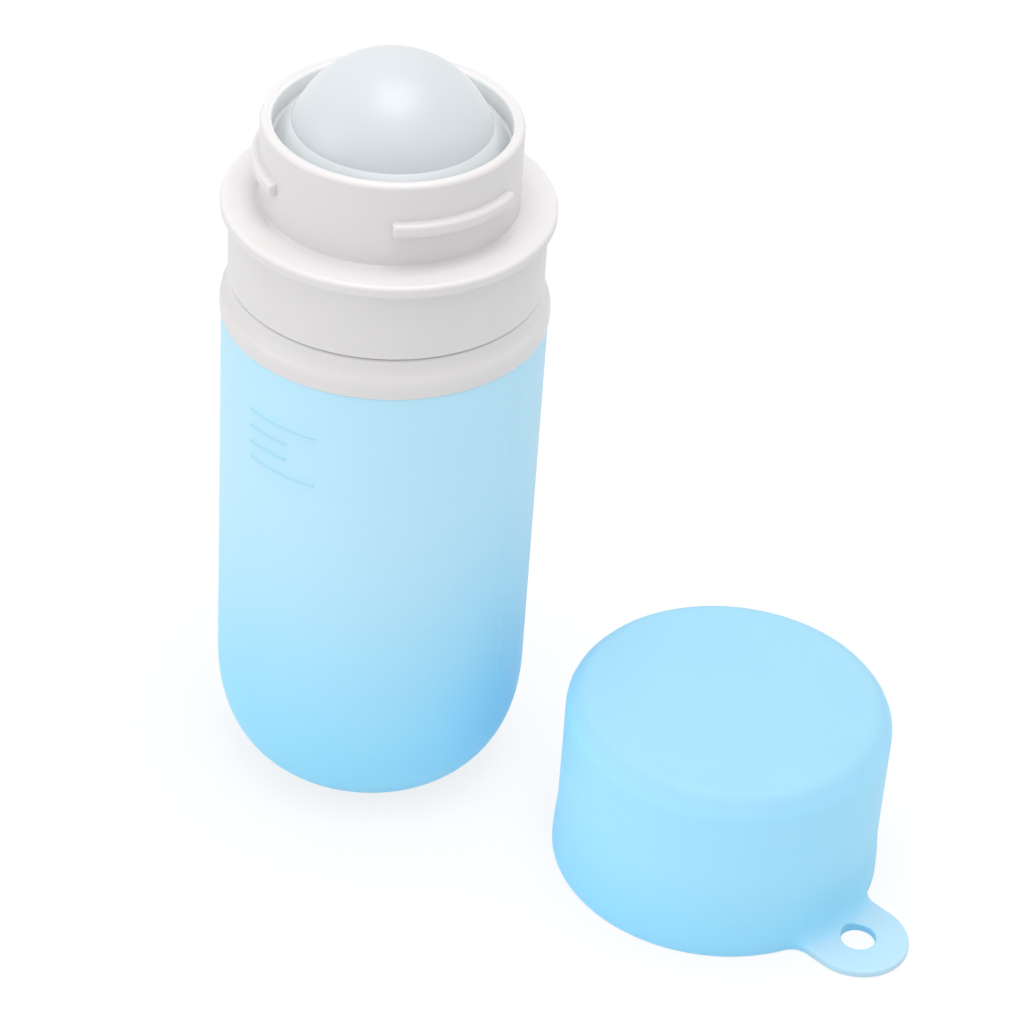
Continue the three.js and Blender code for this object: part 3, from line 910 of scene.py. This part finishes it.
def cut(shown, cutter_mesh):
    """Takes a closed mesh out of an object."""
    cutter = bpy.data.objects.new(cutter_mesh.name, cutter_mesh)
    bpy.context.scene.collection.objects.link(cutter)
    boolean = shown.modifiers.new("cut", "BOOLEAN")
    boolean.operation = "DIFFERENCE"
    boolean.solver = "EXACT"
    boolean.object = cutter
    shown_now = shown.evaluated_get(bpy.context.evaluated_depsgraph_get())
    result = bpy.data.meshes.new_from_object(shown_now)
    shown.modifiers.clear()
    shown.data = result
    bpy.data.objects.remove(cutter)
    clean(result)
    result.shade_smooth()
    result.set_sharp_from_angle(angle=SHARP_ANGLE)


# Cap liner

def liner_sections():
    sections = []
    ring_inner = PRESS_RING - PRESS_RING_HALF_WALL
    ring_outer = PRESS_RING + PRESS_RING_HALF_WALL
    for angle in turn_angles(lug_angles(LINER_LUG_START, LINER_LUG_SPAN, LINER_INNER)):
        depth = inside_lug(angle, LINER_LUG_START, LINER_LUG_SPAN, LINER_INNER)
        bars = lug_outline(LINER_INNER, LINER_LUG_TIP, LINER_LUG_LOW, LINER_LUG_HIGH, depth)
        sections.append((angle, rounded([
            (0, LINER_CEILING, 0),
            (ring_inner, LINER_CEILING, LINER_ROUND),
            (ring_inner, PRESS_RING_FOOT, LINER_ROUND),
            (ring_outer, PRESS_RING_FOOT, LINER_ROUND),
            (ring_outer, LINER_CEILING, LINER_ROUND),
            (LINER_INNER, LINER_CEILING, LINER_CEILING_ROUND),
            *plain(reversed(bars)),
            (LINER_INNER, liner.foot, LINER_ROUND),
            (liner.radius, liner.foot, LINER_ROUND),
            (liner.radius, liner.top, LINER_CORNER),
            (0, liner.top, 0),
        ])))
    return sections


# Materials

def new_material(name):
    """A material with one Principled shader. Gives the material, its node tree and the shader."""
    material = bpy.data.materials.new(name)
    material.use_nodes = True
    shader = material.node_tree.nodes["Principled BSDF"]
    return material, material.node_tree, shader


def noise(tree, scale, detail):
    """A noise on the object's own coordinates. scale is in waves per metre."""
    place = tree.nodes.new("ShaderNodeTexCoord")
    texture = tree.nodes.new("ShaderNodeTexNoise")
    texture.inputs["Scale"].default_value = scale
    texture.inputs["Detail"].default_value = detail
    tree.links.new(place.outputs["Object"], texture.inputs["Vector"])
    return texture.outputs["Fac"]


def spread(tree, value, low, high):
    """Maps the middle of a 0 to 1 value to a range."""
    mapped = tree.nodes.new("ShaderNodeMapRange")
    mapped.inputs["From Min"].default_value = NOISE_LOW
    mapped.inputs["From Max"].default_value = NOISE_HIGH
    mapped.inputs["To Min"].default_value = low
    mapped.inputs["To Max"].default_value = high
    tree.links.new(value, mapped.inputs["Value"])
    return mapped.outputs["Result"]


def bump(tree, shader, value, height):
    """Fine relief of the given height in millimetres."""
    relief = tree.nodes.new("ShaderNodeBump")
    relief.inputs["Strength"].default_value = 1
    relief.inputs["Distance"].default_value = height * MM
    tree.links.new(value, relief.inputs["Height"])
    tree.links.new(relief.outputs["Normal"], shader.inputs["Normal"])


def mix_colours(tree, factor, first, second):
    """A colour between two by a factor. Each colour is four numbers or an output."""
    mix = tree.nodes.new("ShaderNodeMix")
    mix.data_type = "RGBA"
    tree.links.new(factor, mix.inputs["Factor"])
    for socket, colour in zip(("A", "B"), (first, second)):
        target = next(s for s in mix.inputs if s.name == socket and s.type == "RGBA")
        if isinstance(colour, tuple):
            target.default_value = colour
        else:
            tree.links.new(colour, target)
    return next(s for s in mix.outputs if s.type == "RGBA")


def height_share(tree, low, high):
    """0 at one height of the object and 1 at another, in millimetres."""
    place = tree.nodes.new("ShaderNodeTexCoord")
    split = tree.nodes.new("ShaderNodeSeparateXYZ")
    mapped = tree.nodes.new("ShaderNodeMapRange")
    mapped.interpolation_type = "SMOOTHSTEP"
    mapped.inputs["From Min"].default_value = low * MM
    mapped.inputs["From Max"].default_value = high * MM
    tree.links.new(place.outputs["Object"], split.inputs["Vector"])
    tree.links.new(split.outputs["Z"], mapped.inputs["Value"])
    return mapped.outputs["Result"]


def axis_share(tree, axis, near_edge, far_edge):
    """0 at one distance from an upright axis and 1 at another, in millimetres."""
    place = tree.nodes.new("ShaderNodeTexCoord")
    offset = tree.nodes.new("ShaderNodeVectorMath")
    offset.operation = "SUBTRACT"
    offset.inputs[1].default_value = axis * MM
    flat = tree.nodes.new("ShaderNodeVectorMath")
    flat.operation = "MULTIPLY"
    flat.inputs[1].default_value = (1, 1, 0)
    distance = tree.nodes.new("ShaderNodeVectorMath")
    distance.operation = "LENGTH"
    mapped = tree.nodes.new("ShaderNodeMapRange")
    mapped.interpolation_type = "SMOOTHSTEP"
    mapped.inputs["From Min"].default_value = near_edge * MM
    mapped.inputs["From Max"].default_value = far_edge * MM
    tree.links.new(place.outputs["Object"], offset.inputs[0])
    tree.links.new(offset.outputs["Vector"], flat.inputs[0])
    tree.links.new(flat.outputs["Vector"], distance.inputs[0])
    tree.links.new(distance.outputs["Value"], mapped.inputs["Value"])
    return mapped.outputs["Result"]


def body_colour(tree):
    """Deeper blue towards the thick round bottom, and painted shade on the ticks: a deeper blue in place
    of the shading along their raised edges.
    """
    wall = mix_colours(tree, height_share(tree, BODY_FADE_LOW, BODY_FADE_HIGH), BODY_DEEP, BODY_PALE)
    # painted shade on the ticks
    tick_shade_marks = tree.nodes.new("ShaderNodeAttribute")
    tick_shade_marks.attribute_name = TICK_SHADE_MARK
    return mix_colours(tree, tick_shade_marks.outputs["Fac"], wall, BODY_TICK_SHADE)


def cap_colour(tree):
    """Deeper blue towards the mouth and a paler thin loop, with painted shade: a darker top and top edge
    that even out the overhead light, and a deeper blue in the loop's hole.
    """
    off_mouth = height_share(tree, 0, CAP_FADE_HIGH)
    # painted shade on the top and its edge, against the overhead light
    near_top_shade = height_share(tree, cap_top - CAP_EDGE_SHADE_LOW, cap_top - CAP_EDGE_SHADE_HIGH)
    off_top_shade = axis_share(tree, cap_axis, liner.radius, liner.radius + CAP_TOP_SHADE_BLEND)
    on_loop = axis_share(tree, cap_axis, cap_mouth - LOOP_FADE_IN, cap_mouth + LOOP_FADE_OUT)
    # painted shade in the loop's hole
    off_hole_shade = axis_share(tree, hole_centre(), LOOP_HOLE, LOOP_HOLE + HOLE_SHADE_BLEND)
    wall = mix_colours(tree, off_mouth, CAP_DEEP, CAP_WALL)
    edge = mix_colours(tree, near_top_shade, wall, CAP_EDGE_SHADE)
    shell = mix_colours(tree, off_top_shade, CAP_TOP_SHADE, edge)
    loop = mix_colours(tree, on_loop, shell, CAP_LOOP)
    return mix_colours(tree, off_hole_shade, CAP_HOLE_SHADE, loop)


def finish_surface(tree, shader, colour, finish, roughness):
    """Gives a shader its colour, an uneven gloss and a fine grain."""
    gloss = spread(tree, noise(tree, *finish.gloss), *roughness)
    tree.links.new(colour, shader.inputs["Base Color"])
    tree.links.new(gloss, shader.inputs["Roughness"])
    bump(tree, shader, noise(tree, *finish.grain), finish.grain_height)
    shader.inputs["IOR"].default_value = finish.ior


def scatter_light(shader, scatter):
    """Lets light spread a little under the surface."""
    shader.inputs["Subsurface Weight"].default_value = scatter.weight
    shader.inputs["Subsurface Radius"].default_value = scatter.colours
    shader.inputs["Subsurface Scale"].default_value = scatter.depth * MM


def silicone(name, paint):
    """Soft matte silicone with a faint cloudiness. paint makes the colour out of nodes."""
    material, tree, shader = new_material(name)
    cloud = spread(tree, noise(tree, *SILICONE.cloud), 0, SILICONE_CLOUDINESS)
    colour = mix_colours(tree, cloud, paint(tree), SILICONE_CLOUD)
    finish_surface(tree, shader, colour, SILICONE, SILICONE_ROUGHNESS)
    scatter_light(shader, SILICONE_SCATTER)
    shader.inputs["Specular IOR Level"].default_value = SILICONE_SPECULAR
    return material


def moulded_plastic(name, light, dark, roughness, bore_light=None):
    """Satin moulded plastic with faint flow variation and a fine moulded grain.

    The last argument, on pieces that have one, is painted light: a paler white inside the neck, in place
    of light let through by the ball and the seat.
    """
    material, tree, shader = new_material(name)
    colour = mix_colours(tree, spread(tree, noise(tree, *MOULDED.cloud), 0, 1), light, dark)
    # painted light inside the neck
    if bore_light:
        outside_bore_light = axis_share(tree, Vector((0, 0, 0)), NECK_BORE, NECK_BORE + BORE_LIGHT_BLEND)
        colour = mix_colours(tree, outside_bore_light, bore_light, colour)
    finish_surface(tree, shader, colour, MOULDED, roughness)
    scatter_light(shader, MOULDED_SCATTER)
    return material


def milky_plastic(name, light, dark, roughness, opacity=1):
    """Unevenly milky plastic with a frosted sheen. Below an opacity of 1 it is partly see-through."""
    material, tree, shader = new_material(name)
    colour = mix_colours(tree, spread(tree, noise(tree, *MILKY.cloud), 0, 1), light, dark)
    finish_surface(tree, shader, colour, MILKY, roughness)
    shader.inputs["Alpha"].default_value = opacity
    shader.inputs["Sheen Weight"].default_value = FROST_SHEEN
    shader.inputs["Sheen Roughness"].default_value = FROST_SHEEN_ROUGHNESS
    return material


body_silicone = silicone("body_silicone", body_colour)
cap_silicone = silicone("cap_silicone", cap_colour)
white_plastic = moulded_plastic("white_plastic", WHITE, WHITE_SHADE, WHITE_ROUGHNESS)
# The head's plastic gets painted light inside its neck
head_plastic = moulded_plastic("head_plastic", WHITE, WHITE_SHADE, WHITE_ROUGHNESS, BORE_PAINTED_LIGHT)
seal_rubber = moulded_plastic("seal_rubber", SEAL, SEAL_SHADE, SEAL_ROUGHNESS)
clear_plastic = milky_plastic("clear_plastic", SEAT_MILK, SEAT_SHADE, SEAT_ROUGHNESS, SEAT_OPACITY)
frosted_plastic = milky_plastic("frosted_plastic", BALL_MILK, BALL_SHADE, BALL_ROUGHNESS)


# Pieces

silicone_body = show(skin("silicone_body", body_sections()), "silicone_body")
mark_tick_shade(silicone_body.data)
dress(silicone_body, "squeeze_body", "bottle", body_silicone)

collar_ring = show(skin("collar_ring", collar_sections()), "collar_ring")
dress(collar_ring, "clamp_collar", "bottle", white_plastic)

threaded_insert = show(skin("threaded_insert", insert_sections()), "threaded_insert")
dress(threaded_insert, "neck_insert", "bottle", white_plastic)

flat_gasket = show(skin("flat_gasket", gasket_sections()), "flat_gasket")
dress(flat_gasket, "neck_gasket", "gasket", seal_rubber)

head_moulding = show(skin("head_moulding", head_sections()), "head_moulding")
dress(head_moulding, "roller_head", "head", head_plastic)

seat_cup = show(skin("seat_cup", seat_sections()), "seat_cup")
dress(seat_cup, "ball_seat", "head", clear_plastic)

frosted_ball = show(ball_mesh(), "frosted_ball")
dress(frosted_ball, "roller_ball", "ball", frosted_plastic)

cap_skin = show(skin("cap_skin", shell_sections(), cap_axis), "cap_skin")
cut(cap_skin, hole_cutter())
dress(cap_skin, "cap_shell", "cap", cap_silicone)

liner_cup = show(skin("liner_cup", liner_sections(), cap_axis), "liner_cup")
dress(liner_cup, "cap_liner", "cap", white_plastic)


# Studio

def seen_directly(tree):
    """1 for rays from the camera and for those that a mirror or a clear piece passes on, else 0."""
    path = tree.nodes.new("ShaderNodeLightPath")
    seen = path.outputs["Is Camera Ray"]
    for ray in ("Is Glossy Ray", "Is Transmission Ray"):
        either = tree.nodes.new("ShaderNodeMath")
        either.operation = "MAXIMUM"
        tree.links.new(seen, either.inputs[0])
        tree.links.new(path.outputs[ray], either.inputs[1])
        seen = either.outputs[0]
    return seen


def studio_world(ambient):
    """White to look at, with a lower level of light from all round."""
    world = bpy.data.worlds.new("studio")
    bpy.context.scene.world = world
    world.use_nodes = True
    tree = world.node_tree
    background = tree.nodes["Background"]
    background.inputs["Color"].default_value = (1, 1, 1, 1)
    level = tree.nodes.new("ShaderNodeMapRange")
    level.inputs["To Min"].default_value = ambient
    level.inputs["To Max"].default_value = 1
    tree.links.new(seen_directly(tree), level.inputs["Value"])
    tree.links.new(level.outputs["Result"], background.inputs["Strength"])


def studio_floor(whiteness):
    """A plain white floor that keeps a soft shadow."""
    mesh = bpy.data.meshes.new("floor")
    far = FLOOR_REACH * MM
    below = -FLOOR_DROP * MM
    corners = [(-far, -far, below), (far, -far, below), (far, far, below), (-far, far, below)]
    mesh.from_pydata(corners, [], [(0, 1, 2, 3)])
    floor = bpy.data.objects.new("floor", mesh)
    bpy.context.scene.collection.objects.link(floor)
    material = bpy.data.materials.new("floor_white")
    material.use_nodes = True
    tree = material.node_tree
    tree.nodes.remove(tree.nodes["Principled BSDF"])
    paint = tree.nodes.new("ShaderNodeBsdfDiffuse")
    paint.inputs["Color"].default_value = FLOOR_PAINT
    white = tree.nodes.new("ShaderNodeEmission")
    mix = tree.nodes.new("ShaderNodeMixShader")
    share = tree.nodes.new("ShaderNodeMath")
    share.operation = "MULTIPLY"
    share.inputs[1].default_value = whiteness
    tree.links.new(seen_directly(tree), share.inputs[0])
    tree.links.new(share.outputs[0], mix.inputs["Fac"])
    tree.links.new(paint.outputs["BSDF"], mix.inputs[1])
    tree.links.new(white.outputs["Emission"], mix.inputs[2])
    tree.links.new(mix.outputs["Shader"], tree.nodes["Material Output"].inputs["Surface"])
    mesh.materials.append(material)


def softbox(name, direction, power):
    """A square area lamp that faces the middle of the object."""
    direction = Vector(direction).normalized()
    lamp = bpy.data.lights.new(name, "AREA")
    lamp.shape = "SQUARE"
    lamp.size = SOFTBOX_SIZE * MM
    lamp.energy = power
    middle = (cad_low + cad_high) / 2
    place = bpy.data.objects.new(name, lamp)
    place.location = middle + direction * SOFTBOX_DISTANCE * MM
    place.rotation_mode = "QUATERNION"
    place.rotation_quaternion = direction.to_track_quat("Z", "Y")
    bpy.context.scene.collection.objects.link(place)


def photo_camera():
    """The photograph's viewpoint: tilted down, turned a little about its own line of sight."""
    back = Vector((0, -math.cos(CAMERA_ELEVATION), math.sin(CAMERA_ELEVATION)))
    level = Vector((1, 0, 0))
    upright = Vector((0, math.sin(CAMERA_ELEVATION), math.cos(CAMERA_ELEVATION)))
    right = level * math.cos(CAMERA_ROLL) + upright * math.sin(CAMERA_ROLL)
    up = upright * math.cos(CAMERA_ROLL) - level * math.sin(CAMERA_ROLL)
    lens = bpy.data.cameras.new("camera")
    lens.lens = CAMERA_LENS
    lens.sensor_width = CAMERA_SENSOR
    lens.clip_start = CAMERA_CLIP * MM
    camera = bpy.data.objects.new("camera", lens)
    place = Matrix.Translation((CAMERA_TARGET + back * CAMERA_DISTANCE) * MM)
    camera.matrix_world = place @ Matrix((right, up, back)).transposed().to_4x4()
    bpy.context.scene.collection.objects.link(camera)
    bpy.context.scene.camera = camera


bpy.context.scene.view_settings.view_transform = "Standard"
studio_world(AMBIENT)
studio_floor(FLOOR_WHITENESS)
for lamp_settings in SOFTBOXES:
    softbox(*lamp_settings)
photo_camera()
